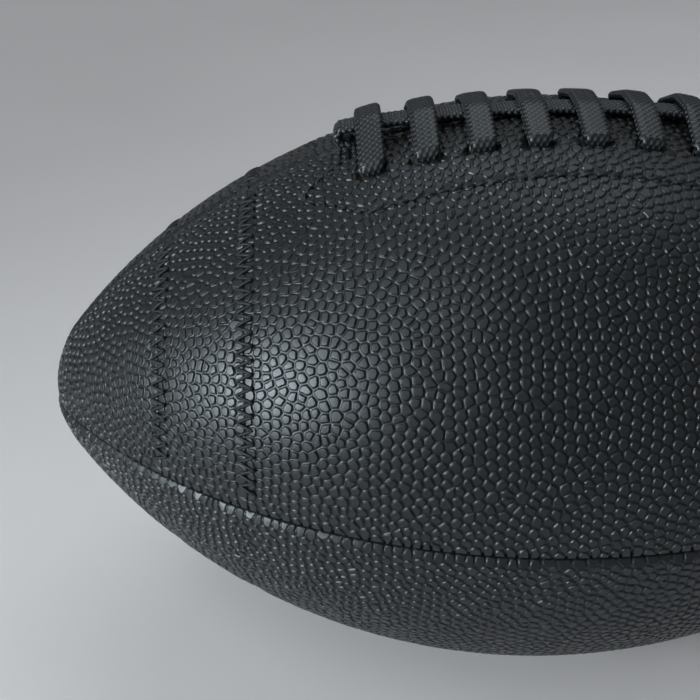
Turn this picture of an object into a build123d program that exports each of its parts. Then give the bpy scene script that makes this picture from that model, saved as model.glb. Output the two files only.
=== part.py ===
from build123d import *

from math import asin, cos, degrees, hypot, pi, radians, sin, sqrt

# An american football: leather panels over a fabric lining, a laced slit, an air bladder and its valve.
# The long axis is X, the laces face +Z, and the origin is the ball's centre. Sizes are in millimetres.

# Outer form
LENGTH = 288.0  # tip to tip
DIAMETER = 168.0  # across the belly
NOSE_RADIUS = 31.0  # rounding of each tip

# Layers, from the outside in
COVER = 2.0  # leather
STAY = 0.8  # facing sewn under the leather beside the laces
PLY = 0.6  # lining left between the facing and the hidden lace
RUN = 0.9  # hidden lace, pressed flat
TONGUE = 0.8  # flap that guards the bladder from the lace
BLADDER = 1.0  # bladder wall
LAYER_GAP = 0.1  # clearance between layers

# Seams between the four panels
SEAM_GAP = 0.2  # between two turned edges
TURNED_EDGE = 2.0  # thickness of the edge folded inward
EDGE_ROUND = 1.5  # rounding where the leather turns in
SEAM_BARE = 12.0  # seam left without thread at each tip, along X
SEAM_THREAD = 0.4  # thread radius
THREAD_GAP = 0.15  # clearance round the thread

# Stripes sewn into the two upper panels
STRIPE_SETBACK = 36.5  # from a tip to its stripe, along X
STRIPE_WIDTH = 23.8  # along X
BUTT_GAP = 0.1  # between two leather edges at a joint
ZIGZAG_REACH = 2.2  # from the joint to a needle hole
ZIGZAG_STEP = 1.75  # along the joint, from one needle hole to the next
ZIGZAG_MARGIN = 5.0  # bare joint beside each seam
STITCH_RADIUS = 0.35  # surface thread
STITCH_CUT = 1.1  # thread hidden in the leather at each end of a zigzag stitch
STITCH_LIFT = 0.06  # clearance under a surface stitch

# Lacing
BAR_COUNT = 8
BAR_PITCH = 14.7  # along the seam
LACE_WIDTH = 7.0
STRIP_WIDTH = 8.0  # of the lengthwise lace
LACE_THICK = 2.0
LACE_ROUND = 0.8  # rolled edge of the lace
LACE_BEND = 2.2  # bend where a lace turns into its hole
LACE_CREST = 8.0  # bend where a bar comes off the lengthwise lace
LACE_LIFT = 0.1  # clearance under the lengthwise lace, at the middle of the ball
END_LIFT = 3.5  # how much higher the lengthwise lace lies at the end bars
LOOP_LIFT = 0.5  # clearance under the lengthwise lace where its end has curled back
CREST_EASE = 0.2  # slack between the lengthwise lace and a bar
HOLE_OFFSET = 18.0  # along the leather, from the seam to a hole
HOLE_GAP = 0.3  # clearance round a lace in its hole
BAR_CORNER = 1.6  # height above the leather where a bar's line meets its hole's axis
END_REACH = 6.0  # lengthwise lace past the last bar's middle, up to its curl
TONGUE_MARGIN = 6.0  # tongue past the lace holes

# Facing beside the laces: the corners of its stitch line, seen from above
STAY_START = 48.0  # where the line leaves the seam
STAY_EAR = (70.0, 18.5)  # the corner towards the tip
STAY_SHOULDER = (52.0, 31.5)  # the outer corner
STAY_WAIST = 30.0  # from the seam, at the middle of the ball
STAY_EAR_BEND = 6.0
STAY_SHOULDER_BEND = 14.0
STAY_WAIST_BEND = 150.0
STAY_MARGIN = 2.0  # facing past its stitches
STAY_STITCH = 2.4  # length of one stitch
STAY_STITCH_STEP = 3.3
STAY_STITCH_MARGIN = 6.0  # bare leather beside the seam

# Valve in the rear upper panel
VALVE_ANGLE = 45.0  # round the long axis, from the laces
STEM_RADIUS = 4.4
STEM_LENGTH = 15.6
STEM_RECESS = 0.4  # below the leather's face
STEM_GAP = 0.1  # clearance round the stem
FLANGE_RADIUS = 14.0
FLANGE = 1.5  # flange bonded inside the bladder
PLUG_RADIUS = 2.95
PLUG_FIT = 0.05  # clearance round the plug
PLUG_LENGTH = 13.0
PLUG_RECESS = 0.5  # below the stem's mouth
NEEDLE_RADIUS = 1.0
NEEDLE_DEPTH = 8.0
NEEDLE_LEAD = 0.5  # chamfer at the needle hole's mouth

# Arcs of the outline: a belly arc that runs smoothly into a small arc at each tip
HALF = LENGTH / 2
RADIUS = DIAMETER / 2
NOSE_CENTER = HALF - NOSE_RADIUS
BELLY_RADIUS = (NOSE_CENTER**2 + RADIUS**2 - NOSE_RADIUS**2) / (2 * (RADIUS - NOSE_RADIUS))
BELLY_CENTER = RADIUS - BELLY_RADIUS
MEET = asin(NOSE_CENTER / (BELLY_RADIUS - NOSE_RADIUS))
REACH = LENGTH + DIAMETER  # larger than the ball
SEAM_END = HALF - SEAM_BARE
STRIPE_OUTER = HALF - STRIPE_SETBACK
STRIPE_INNER = STRIPE_OUTER - STRIPE_WIDTH

# Depth of each layer's outer face below the leather's face
STAY_DEPTH = COVER + LAYER_GAP
PLY_DEPTH = STAY_DEPTH + STAY + LAYER_GAP
RUN_DEPTH = PLY_DEPTH + PLY + LAYER_GAP
TONGUE_DEPTH = RUN_DEPTH + RUN + LAYER_GAP
LINING_END = TONGUE_DEPTH + TONGUE
BLADDER_DEPTH = LINING_END + LAYER_GAP
FLANGE_DEPTH = BLADDER_DEPTH + BLADDER + LAYER_GAP
LEG_DEPTH = RUN_DEPTH + RUN / 2

SIDES = {"front": -1, "rear": 1}
LEVELS = {"upper": 1, "lower": -1}


def keep(piece, name):
    piece.label = name
    export_step(piece, f"parts/{name}.step")


def egg(depth, mode=Mode.ADD):
    """Everything deeper than a depth below the leather's face."""
    nose = NOSE_RADIUS - depth
    belly = BELLY_RADIUS - depth
    turn = (MEET + pi / 2) / 2
    meet_x, meet_r = belly * sin(MEET), BELLY_CENTER + belly * cos(MEET)
    nose_x, nose_r = NOSE_CENTER + nose * sin(turn), nose * cos(turn)
    with BuildSketch(Plane.XY) as profile:
        with BuildLine():
            ThreePointArc((depth - HALF, 0), (-nose_x, nose_r), (-meet_x, meet_r))
            ThreePointArc((-meet_x, meet_r), (0, RADIUS - depth), (meet_x, meet_r))
            ThreePointArc((meet_x, meet_r), (nose_x, nose_r), (HALF - depth, 0))
            Line((HALF - depth, 0), (depth - HALF, 0))
        make_face()
    revolve(profile.sketch, axis=Axis.X, mode=mode)


def quarter(side, level, inset, mode=Mode.INTERSECT):
    """The quarter of space on one side of both seam planes, set back from them."""
    with Locations((0, side * (inset + REACH / 2), level * (inset + REACH / 2))):
        Box(2 * REACH, REACH, REACH, mode=mode)


def slab(low, high, mode=Mode.INTERSECT):
    """The space between two planes across the long axis."""
    with Locations(((low + high) / 2, 0, 0)):
        Box(high - low, REACH, REACH, mode=mode)


def surface_radius(x):
    """Radius of the leather's face at a place along the long axis."""
    if abs(x) < BELLY_RADIUS * sin(MEET):
        return sqrt(BELLY_RADIUS**2 - x**2) + BELLY_CENTER
    return sqrt(max(NOSE_RADIUS**2 - (abs(x) - NOSE_CENTER) ** 2, 0))


def above(x, angle, lift):
    """A point over the belly, at an angle from the laces towards the front, and its outward direction."""
    slope = asin(x / BELLY_RADIUS)
    outward = Vector(sin(slope), -sin(angle) * cos(slope), cos(angle) * cos(slope))
    radius = surface_radius(x)
    return Vector(x, -sin(angle) * radius, cos(angle) * radius) + outward * lift, outward


def stitch_place(start, end):
    """Where a straight stitch between two points lies."""
    return Plane(origin=(start + end) * 0.5, z_dir=end - start).location


def is_outer_seam_edge(edge):
    """Whether an edge lies both on a seam plane and on the leather's face."""
    middle = edge.position_at(0.5)
    on_seam = min(abs(abs(middle.Y) - SEAM_GAP / 2), abs(abs(middle.Z) - SEAM_GAP / 2)) < 1e-3
    return on_seam and abs(hypot(middle.Y, middle.Z) - surface_radius(middle.X)) < 0.01


# Seam threads, and the channels that they lie in between the turned edges
THREAD_DEPTH = (COVER + LINING_END) / 2
SLIT_END = BAR_PITCH * (BAR_COUNT - 1) / 2 + END_REACH + STRIP_WIDTH
SEAMS = {
    "seam_thread_top_left": ((0, 0, 1), -SEAM_END, -SLIT_END),
    "seam_thread_top_right": ((0, 0, 1), SLIT_END, SEAM_END),
    "seam_thread_front": ((0, -1, 0), -SEAM_END, SEAM_END),
    "seam_thread_rear": ((0, 1, 0), -SEAM_END, SEAM_END),
    "seam_thread_bottom": ((0, 0, -1), -SEAM_END, SEAM_END),
}


def seam_cord(toward, low, high, radius):
    """A cord inside a seam, along the belly, between two places on the long axis."""
    outward, ahead = Vector(*toward), Vector(1, 0, 0)
    arc = BELLY_RADIUS - THREAD_DEPTH
    first, last = asin(low / arc), asin(high / arc)
    center = outward * BELLY_CENTER
    start = center + (ahead * sin(first) + outward * cos(first)) * arc
    with BuildSketch(Plane(origin=start, z_dir=ahead * cos(first) - outward * sin(first))) as section:
        Circle(radius)
    revolve(section.sketch, Axis(center, outward.cross(ahead)), revolution_arc=degrees(last - first))


channels = []
for name, seam in SEAMS.items():
    with BuildPart() as thread:
        seam_cord(*seam, SEAM_THREAD)
    keep(thread.part, name)
    with BuildPart() as channel:
        seam_cord(*seam, SEAM_THREAD + THREAD_GAP)
    channels.append(channel.part)

# Where each bar of the lacing crosses the seam, as planes across the ball that stand square on the leather
bar_planes = []
for number in range(BAR_COUNT):
    slope = (number - (BAR_COUNT - 1) / 2) * BAR_PITCH / BELLY_RADIUS
    crossing = (BELLY_RADIUS * sin(slope), 0, BELLY_CENTER + BELLY_RADIUS * cos(slope))
    along = (cos(slope), 0, -sin(slope))
    bar_planes.append((Plane(origin=crossing, x_dir=(0, 1, 0), z_dir=along), crossing[2] / cos(slope)))


def hole_point(cross_radius, side, height):
    """A point on a lace hole's axis, in its bar's plane, at a height over the leather."""
    turn = HOLE_OFFSET / cross_radius
    return side * (cross_radius + height) * sin(turn), (cross_radius + height) * cos(turn) - cross_radius


# Lace along the seam: an arc flatter than the ball, whose ends curl over and back, then go down into the slit
middle_height = LACE_LIFT + LACE_THICK / 2
end_bar = BAR_PITCH * (BAR_COUNT - 1) / 2
strip_arc = 1 / (1 / (BELLY_RADIUS + middle_height) - 2 * END_LIFT / end_bar**2)
strip_center = RADIUS + middle_height - strip_arc


def strip_at(slope):
    """Height of the lengthwise lace over the leather where the leather has a slope, and its tilt there."""
    ahead = BELLY_CENTER - strip_center
    reach = sqrt(strip_arc**2 - (ahead * sin(slope)) ** 2) - ahead * cos(slope)
    return reach - BELLY_RADIUS, slope - asin(reach * sin(slope) / strip_arc)


curl_slope = (end_bar + END_REACH) / strip_arc
curl_start = Vector(strip_arc * sin(curl_slope), strip_center + strip_arc * cos(curl_slope))
leg_slope = asin(curl_start.X / hypot(curl_start.X, curl_start.Y - BELLY_CENTER))
strip_up = Vector(sin(curl_slope), cos(curl_slope))
strip_ahead = Vector(cos(curl_slope), -sin(curl_slope))
leg_up = Vector(sin(leg_slope), cos(leg_slope))
leg_ahead = Vector(cos(leg_slope), -sin(leg_slope))
curl_height, curl_tilt = strip_at(leg_slope)
curl = (curl_height - LACE_THICK / 2 - LOOP_LIFT) / (2 * cos(curl_tilt))
curl_side = curl_start - strip_up * curl + strip_ahead * curl
curl_end = curl_start - strip_up * (2 * curl)
bend_center = curl_end - strip_up * LACE_BEND
bend_side = bend_center + (strip_up - leg_ahead).normalized() * LACE_BEND
bend_end = bend_center - leg_ahead * LACE_BEND
leg_height = hypot(bend_end.X, bend_end.Y - BELLY_CENTER) - BELLY_RADIUS
leg_end = bend_end - leg_up * (leg_height + LEG_DEPTH)


def at_end(side, point):
    """A point of the right end of the lengthwise lace, or its mirror image at the left end."""
    return side * point.X, point.Y


with BuildPart() as lace_lengthwise:
    with BuildLine(Plane.XZ) as path:
        Line(at_end(-1, leg_end), at_end(-1, bend_end))
        ThreePointArc(at_end(-1, bend_end), at_end(-1, bend_side), at_end(-1, curl_end))
        ThreePointArc(at_end(-1, curl_end), at_end(-1, curl_side), at_end(-1, curl_start))
        ThreePointArc(at_end(-1, curl_start), (0, strip_center + strip_arc), at_end(1, curl_start))
        ThreePointArc(at_end(1, curl_start), at_end(1, curl_side), at_end(1, curl_end))
        ThreePointArc(at_end(1, curl_end), at_end(1, bend_side), at_end(1, bend_end))
        Line(at_end(1, bend_end), at_end(1, leg_end))
    with BuildSketch(Plane(origin=path.line @ 0, x_dir=(0, 1, 0), z_dir=path.line % 0)):
        RectangleRounded(STRIP_WIDTH, LACE_THICK, LACE_ROUND)
    sweep()
keep(lace_lengthwise.part, "lace_lengthwise")

# Lace across the seam: the bars that show, joined by flat runs hidden under the lining
hidden_runs = []
for (plane, cross_radius), (next_plane, next_radius) in zip(bar_planes, bar_planes[1:]):
    start = plane.from_local_coords((*hole_point(cross_radius, 1, -LEG_DEPTH), 0))
    end = next_plane.from_local_coords((*hole_point(next_radius, -1, -LEG_DEPTH), 0))
    half = LACE_WIDTH / 2 - LACE_ROUND
    over = LACE_THICK / 4
    with BuildPart() as run:
        egg(RUN_DEPTH)
        egg(RUN_DEPTH + RUN, mode=Mode.SUBTRACT)
        with BuildSketch(Plane.XY):
            with BuildLine():
                Polyline(
                    (start.X - half, start.Y + over),
                    (start.X + half, start.Y + over),
                    (end.X + half, end.Y - over),
                    (end.X - half, end.Y - over),
                    close=True,
                )
            make_face()
        extrude(amount=REACH, mode=Mode.INTERSECT)
    hidden_runs.append(run.part)

with BuildPart() as lace_crossing:
    for number, (plane, cross_radius) in enumerate(bar_planes):
        height, tilt = strip_at((number - (BAR_COUNT - 1) / 2) * BAR_PITCH / BELLY_RADIUS)
        crest_height = height + LACE_THICK + CREST_EASE + LACE_WIDTH / 2 * abs(sin(tilt))
        legs = [hole_point(cross_radius, side, -LEG_DEPTH) for side in (-1, 1)]
        corners = [hole_point(cross_radius, side, BAR_CORNER) for side in (-1, 1)]
        crests = [(side * (STRIP_WIDTH / 2 + LACE_ROUND), crest_height) for side in (-1, 1)]
        route = [legs[0], corners[0], crests[0], crests[1], corners[1], legs[1]]
        with BuildLine(plane) as path:
            FilletPolyline(*route, radius=[LACE_BEND, LACE_CREST, LACE_CREST, LACE_BEND])
        with BuildSketch(Plane(origin=path.line @ 0, x_dir=plane.z_dir, z_dir=path.line % 0)):
            RectangleRounded(LACE_WIDTH, LACE_THICK, LACE_ROUND)
        sweep()
    for run in hidden_runs:
        add(run)
keep(lace_crossing.part, "lace_crossing")

# Room for the laces: their holes, and the hollow under the lining for the hidden runs and the tongue
hole_size = (LACE_WIDTH + 2 * HOLE_GAP, LACE_THICK + 2 * HOLE_GAP)
hole_top = LACE_THICK + LACE_BEND
with BuildPart() as lace_holes:
    for plane, cross_radius in bar_planes:
        for side in SIDES.values():
            turn = HOLE_OFFSET / cross_radius
            mouth = plane.from_local_coords((*hole_point(cross_radius, side, (hole_top - LEG_DEPTH) / 2), 0))
            inward = plane.from_local_coords((*hole_point(cross_radius, side, -LEG_DEPTH), 0))
            with Locations(Plane(origin=mouth, x_dir=plane.z_dir, z_dir=mouth - inward).location):
                Box(*hole_size, hole_top + LEG_DEPTH)
    for side in (-1, 1):
        x, z = at_end(side, leg_end + leg_up * ((hole_top + LEG_DEPTH) / 2))
        outward = (side * leg_up.X, 0, leg_up.Y)
        with Locations(Plane(origin=(x, 0, z), x_dir=(0, 1, 0), z_dir=outward).location):
            Box(STRIP_WIDTH + 2 * HOLE_GAP, hole_size[1], hole_top + LEG_DEPTH)

tongue_length = 2 * (SLIT_END - STRIP_WIDTH + TONGUE_MARGIN)
tongue_width = 2 * (HOLE_OFFSET + LACE_THICK + TONGUE_MARGIN)
with BuildPart() as slit_room:
    egg(RUN_DEPTH - LAYER_GAP)
    with BuildSketch(Plane.XY):
        RectangleRounded(tongue_length, tongue_width, TONGUE_MARGIN)
    extrude(amount=REACH, mode=Mode.INTERSECT)

with BuildPart() as tongue:
    egg(TONGUE_DEPTH)
    egg(LINING_END, mode=Mode.SUBTRACT)
    with BuildSketch(Plane.XY):
        RectangleRounded(tongue_length, tongue_width, TONGUE_MARGIN)
        offset(amount=-LAYER_GAP)
    extrude(amount=REACH, mode=Mode.INTERSECT)
keep(tongue.part, "tongue")

# Facings beside the laces, with the stitches that show on the leather
valve_plane = Plane(
    origin=(0, 0, 0), x_dir=(1, 0, 0), z_dir=(0, sin(radians(VALVE_ANGLE)), cos(radians(VALVE_ANGLE)))
)
stay_rooms = {}
for name, side in SIDES.items():
    corners = [(-STAY_EAR[0], STAY_EAR[1]), (-STAY_SHOULDER[0], STAY_SHOULDER[1]), (0, STAY_WAIST)]
    corners += [STAY_SHOULDER, STAY_EAR]
    ends = [(-STAY_START, 0), (STAY_START, 0)]
    line_points = [(x, side * y) for x, y in (ends[0], *corners, ends[1])]
    bends = [STAY_EAR_BEND, STAY_SHOULDER_BEND, STAY_WAIST_BEND, STAY_SHOULDER_BEND, STAY_EAR_BEND]
    with BuildLine(Plane.XY) as stitch_line:
        FilletPolyline(*line_points, radius=bends)

    with BuildSketch(Plane.XY) as stay_outline:
        with BuildLine():
            add(stitch_line.line)
            Line(line_points[-1], line_points[0])
        make_face()
        offset(amount=STAY_MARGIN, kind=Kind.ARC)
    with BuildSketch(Plane.XY) as room_outline:
        add(stay_outline.sketch)
        offset(amount=LAYER_GAP, kind=Kind.ARC)

    with BuildPart() as stay:
        egg(STAY_DEPTH)
        egg(STAY_DEPTH + STAY, mode=Mode.SUBTRACT)
        extrude(stay_outline.sketch, amount=REACH, mode=Mode.INTERSECT)
        quarter(side, 1, SEAM_GAP / 2 + TURNED_EDGE + LAYER_GAP)
        add(lace_holes.part, mode=Mode.SUBTRACT)
    keep(stay.part, f"stay_{name}")

    with BuildPart() as stay_room:
        extrude(room_outline.sketch, amount=REACH)
        egg(PLY_DEPTH, mode=Mode.SUBTRACT)
    stay_rooms[name] = stay_room.part

    stitch_route = stitch_line.wire()
    spare = stitch_route.length - 2 * STAY_STITCH_MARGIN - STAY_STITCH
    count = int(spare / STAY_STITCH_STEP) + 1
    first = (stitch_route.length - (count - 1) * STAY_STITCH_STEP) / 2
    places = []
    for number in range(count):
        ends = []
        for shift in (-STAY_STITCH / 2, STAY_STITCH / 2):
            along = first + number * STAY_STITCH_STEP + shift
            spot = stitch_route.position_at(along, position_mode=PositionMode.LENGTH)
            angle = asin(-spot.Y / surface_radius(spot.X))
            ends.append(above(spot.X, angle, STITCH_RADIUS + STITCH_LIFT)[0])
        places.append(stitch_place(*ends))
    with BuildPart() as stay_stitches:
        with Locations(*places):
            Cylinder(STITCH_RADIUS, STAY_STITCH)
    keep(stay_stitches.part, f"stay_stitches_{name}")

# Leather panels and their linings
stripe_pieces = {
    "nose_left": (-REACH, -STRIPE_OUTER),
    "stripe_left": (-STRIPE_OUTER, -STRIPE_INNER),
    "middle": (-STRIPE_INNER, STRIPE_INNER),
    "stripe_right": (STRIPE_INNER, STRIPE_OUTER),
    "nose_right": (STRIPE_OUTER, REACH),
}
for level_name, level in LEVELS.items():
    for side_name, side in SIDES.items():
        with BuildPart() as lining_room:
            egg(COVER)
            quarter(side, level, SEAM_GAP / 2 + TURNED_EDGE)

        with BuildPart() as panel:
            egg(0)
            quarter(side, level, SEAM_GAP / 2)
            fillet(panel.edges().filter_by(is_outer_seam_edge), EDGE_ROUND)
            egg(LINING_END, mode=Mode.SUBTRACT)
            add(lining_room.part, mode=Mode.SUBTRACT)
            for channel in channels:
                add(channel, mode=Mode.SUBTRACT)

        with BuildPart() as lining:
            egg(STAY_DEPTH)
            egg(LINING_END, mode=Mode.SUBTRACT)
            quarter(side, level, SEAM_GAP / 2 + TURNED_EDGE + LAYER_GAP)
            if level_name == "upper":
                add(stay_rooms[side_name], mode=Mode.SUBTRACT)
                add(slit_room.part, mode=Mode.SUBTRACT)
                add(lace_holes.part, mode=Mode.SUBTRACT)
            if (level_name, side_name) == ("upper", "rear"):
                with BuildSketch(valve_plane):
                    Circle(STEM_RADIUS + STEM_GAP)
                extrude(amount=REACH, mode=Mode.SUBTRACT)
        keep(lining.part, f"lining_{level_name}_{side_name}")

        if level_name == "lower":
            keep(panel.part, f"panel_lower_{side_name}")
            continue
        for piece_name, (low, high) in stripe_pieces.items():
            with BuildPart() as leather:
                add(panel.part)
                slab(low + BUTT_GAP / 2, high - BUTT_GAP / 2)
                if piece_name == "middle":
                    add(slit_room.part, mode=Mode.SUBTRACT)
                    add(lace_holes.part, mode=Mode.SUBTRACT)
                    if side_name == "rear":
                        with BuildSketch(valve_plane):
                            Circle(STEM_RADIUS + STEM_GAP)
                        extrude(amount=REACH, mode=Mode.SUBTRACT)
            keep(leather.part, f"panel_upper_{side_name}_{piece_name}")

# Zigzag stitches over the joints of each stripe
for side_name, side in SIDES.items():
    for end_name, end in (("left", -1), ("right", 1)):
        places = []
        for joint in (STRIPE_INNER, STRIPE_OUTER):
            radius = surface_radius(joint)
            count = int((radius * pi / 2 - 2 * ZIGZAG_MARGIN) / ZIGZAG_STEP)
            first = pi / 4 - count * ZIGZAG_STEP / radius / 2
            for number in range(count):
                reach = ZIGZAG_REACH if number % 2 else -ZIGZAG_REACH
                turns = [first + (number + step) * ZIGZAG_STEP / radius for step in (0, 1)]
                lift = STITCH_RADIUS + STITCH_LIFT
                start = above(end * (joint + reach), -side * turns[0], lift)[0]
                finish = above(end * (joint - reach), -side * turns[1], lift)[0]
                places.append(stitch_place(start, finish))
        with BuildPart() as zigzag:
            with Locations(*places):
                Cylinder(STITCH_RADIUS, 2 * (hypot(ZIGZAG_REACH, ZIGZAG_STEP / 2) - STITCH_CUT))
        keep(zigzag.part, f"zigzag_{side_name}_{end_name}")

# Bladder and valve
with BuildPart() as bladder:
    egg(BLADDER_DEPTH)
    egg(BLADDER_DEPTH + BLADDER, mode=Mode.SUBTRACT)
    with BuildSketch(valve_plane):
        Circle(STEM_RADIUS + STEM_GAP)
    extrude(amount=REACH, mode=Mode.SUBTRACT)
keep(bladder.part, "bladder")

stem_top = RADIUS - STEM_RECESS
plug_top = stem_top - PLUG_RECESS
with BuildPart() as valve_housing:
    egg(FLANGE_DEPTH)
    egg(FLANGE_DEPTH + FLANGE, mode=Mode.SUBTRACT)
    with BuildSketch(valve_plane):
        Circle(FLANGE_RADIUS)
    extrude(amount=REACH, mode=Mode.INTERSECT)
    with BuildSketch(valve_plane.offset(stem_top - STEM_LENGTH)):
        Circle(STEM_RADIUS)
    extrude(amount=STEM_LENGTH)
    with BuildSketch(valve_plane.offset(plug_top - PLUG_LENGTH - LAYER_GAP)):
        Circle(PLUG_RADIUS + PLUG_FIT)
    extrude(amount=REACH, mode=Mode.SUBTRACT)
keep(valve_housing.part, "valve_housing")

with BuildPart() as valve_plug:
    with BuildSketch(valve_plane.offset(plug_top - PLUG_LENGTH)):
        Circle(PLUG_RADIUS)
    extrude(amount=PLUG_LENGTH)
    with BuildSketch(valve_plane.offset(plug_top - NEEDLE_DEPTH)):
        Circle(NEEDLE_RADIUS)
    extrude(amount=NEEDLE_DEPTH, mode=Mode.SUBTRACT)
    top_circles = valve_plug.edges().group_by(Axis((0, 0, 0), valve_plane.z_dir))[-1]
    chamfer(top_circles.sort_by(SortBy.RADIUS)[0], NEEDLE_LEAD)
keep(valve_plug.part, "valve_plug")
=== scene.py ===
import math

import bpy
import numpy as np
from mathutils import Matrix, Vector
from mathutils.geometry import delaunay_2d_cdt


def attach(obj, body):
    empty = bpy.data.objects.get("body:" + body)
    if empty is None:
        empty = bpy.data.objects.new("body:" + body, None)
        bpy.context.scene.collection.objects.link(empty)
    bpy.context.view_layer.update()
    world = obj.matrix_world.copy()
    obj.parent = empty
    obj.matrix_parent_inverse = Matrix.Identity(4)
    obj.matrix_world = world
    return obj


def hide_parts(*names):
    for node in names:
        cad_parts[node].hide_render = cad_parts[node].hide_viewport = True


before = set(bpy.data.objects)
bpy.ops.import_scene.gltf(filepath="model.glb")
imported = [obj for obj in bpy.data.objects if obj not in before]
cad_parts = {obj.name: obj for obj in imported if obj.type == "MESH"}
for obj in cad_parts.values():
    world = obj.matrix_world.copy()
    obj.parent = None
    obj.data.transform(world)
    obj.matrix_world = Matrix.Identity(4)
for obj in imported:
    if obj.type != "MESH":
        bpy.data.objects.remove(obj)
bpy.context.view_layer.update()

# An american football in black pebbled leather. Sizes are in millimetres until a mesh is made.
MM = 0.001
SAME_POINT = 1e-9  # points closer than this are one
CURVE_POINTS = 24  # along one bend of a smooth line
random = np.random.default_rng(7)

# Outer form and layers, as in the solids
LENGTH = 288.0
DIAMETER = 168.0
NOSE_RADIUS = 31.0
COVER = 2.0
STRIPE_INNER = 83.7
STRIPE_OUTER = 107.5
TIP_GAP = 1.2  # small hole where the four panels meet

# Pebble grain
PEBBLE = 2.95  # from one pebble to the next
PEBBLE_WANDER = 0.44  # how far a pebble strays from its row, as a share of its size
PEBBLE_MARGIN = 0.3  # how near a pebble's middle starts to an edge, as a share of its size
PEBBLE_LIFT = (-0.09, 0.06)  # how much lower or higher a pebble is, as a share of the valleys' depth
ROW_SPACING = 0.87  # from row to row, as a share of a pebble's size
ROW_SHIFT = 0.25  # how far a row is moved to one side and the next to the other, as a share of a pebble
EVENING_ROUNDS = 3  # how often the pebbles move to the middle of their cells
MIRROR_REACH = 3.2  # how many pebbles from an edge are mirrored over it
ON_EDGE = 1e-5  # a corner this close to an edge of the layout lies on it
VALLEY_DEPTH = 0.5
SHOULDER_DROP = 0.1
# Rings of a pebble: inset from the valley's line at a corner and at a side, and the least share left
FOOT = (0.42, 0.29, 0.66)  # edge of the flat valley
SHOULDER = (0.6, 0.42, 0.48)  # top of the wall
CROWN = (0.78, 0.56, 0.34)  # edge of the flat top
FLAT_TOP_WEIGHT = 60  # how strongly the large flat tops set the shading of their edges
LEAST_TONE = 0.6  # share of the grain's shading that is left where its height fades
RIM_DEPTH = 1.4  # how deep a panel's rim folds into its seam
RIM_FADE = (0.4, 1.3)  # where the grain comes back beside a fold, as shares of the rim's width
RIM_ROUND = 1.4  # power that rounds a rim's slope
RIM_SWELL = 1.5  # half width of a proud rim's swelling, as a share of the rim's width
JOINT_GRAIN = 0.3  # share of the grain that is left at a piece's ends, where the stripes join
JOINT_FADE = (0.2, 1.5)  # distances from the end between which the grain comes back
UNDERSIDE = COVER + 0.3  # depth of a leather mesh, which sinks a little into its lining

# Layout in the unit square, where a leather piece has its inside in a strip beside its outside
LAYOUT_EDGE = 0.01
OUTSIDE_START, OUTSIDE_SIZE = (0.01, 0.01), (0.9, 0.98)
INSIDE_START, INSIDE_SIZE = (0.93, 0.01), (0.06, 0.98)

# Lacing
BAR_COUNT = 8
BAR_PITCH = 14.7
LACE_WIDTH = 7.0
STRIP_WIDTH = 8.0  # of the lengthwise lace
LACE_THICK = 2.0
LACE_LIFT = 0.1  # clearance under the lengthwise lace, at the middle of the ball
END_LIFT = 3.5  # how much higher the lengthwise lace lies at the end bars
LOOP_LIFT = 0.5  # clearance under the lengthwise lace where its end has curled back
CREST_EASE = 0.2  # slack between the lengthwise lace and a bar
HOLE_OFFSET = 18.0
BAR_RISE = 1.2  # height of a bar over the leather where it bends into its hole
LEG_BEND = -1.4  # height over the leather where a bar's leg starts to bend
LEG_DEPTH = 3.4
BAR_SHOULDER = 0.8  # from the edge of the lengthwise lace to where a bar turns down
BAR_SLOPE = (0.76, 0.3)  # two places on the way from a bar's shoulder to its hole, as shares of it
BAR_CREST = 1.5  # half length of a bar's flat crest
END_REACH = 6.0
LACE_BEND = 2.2
YARN = 1.2  # width of one yarn of the braid
YARN_HEIGHT = 0.42
LACE_STEP = 0.19  # between points along and across the face of a lace
YARN_ROUND = 0.6  # power that rounds a yarn
YARN_DIP = 0.55  # how far a yarn dips where it goes under, as a share of its height
SECTION_STEPS = 2000
UNDER_POINTS = 12  # round the back of a lace
BEND_POINTS = 40  # along one arc of the lengthwise lace
LACE_SQUARE = (0.42, 0.7)  # powers that square the lace's section, across and through
MOUTH_WIDTH = 0.78  # width of a bar in its hole, as a share of its full width
MOUTH_RUN = 4.0  # length over which it narrows
MOUTH_DEPTH = 2.0  # how deep the leather goes down in a lace hole
MOUTH_EDGE = (0.1, 1.0)  # distances from the hole between which the leather comes up

# Stitching
ZIGZAG_REACH = 2.2
NEEDLE_REACH = 1.1 * ZIGZAG_REACH  # from a joint to its needle holes
ZIGZAG_STEP = 1.75
ZIGZAG_MARGIN = 5.0
ZIGZAG_RUN_OUT = 1.0  # how far the dents go on past the last needle holes
PINCH = (0.22, 2.4)  # depth and half width of the dent along a zigzag
NEEDLE_DENT = (0.4, 0.7)  # depth and radius of the dent round a needle hole
THREAD = 0.44  # thread radius
STITCH_POINTS = 9
STITCH_SIDES = 8
STITCH_DIVE = 0.6  # how deep the ends of a stitch go
STITCH_ROUND = 0.6  # power that rounds a stitch
STAY_START = 48.0
STAY_EAR = (70.0, 18.5)
STAY_SHOULDER = (52.0, 31.5)
STAY_WAIST = 30.0
STAY_EASE = 8.0  # from a shoulder or the waist to where the stitch line starts to round it
EAR_EASE = 9.0  # the same at an ear
STAY_STITCH_STEP = 3.3
STAY_PARTS = 4  # parts of a step, of which one is the gap between two stitches
STAY_SINK = -0.3  # height of the facing's needle holes over the leather
STAY_RISE = 0.15  # height of a facing stitch over its holes
STAY_DENT = (0.38, 0.8)  # depth and half width of the dent along the stitches
STAY_SWELL = (0.12, 2.2, 1.3)  # height, distance and half width of the swelling beside the dent
STAY_LIMITS = (80.0, 0.6)  # farthest place on the long axis and turn from the seam that it dents
STAY_DENT_STEP = 2.5  # between points of the line that the dent follows

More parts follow.
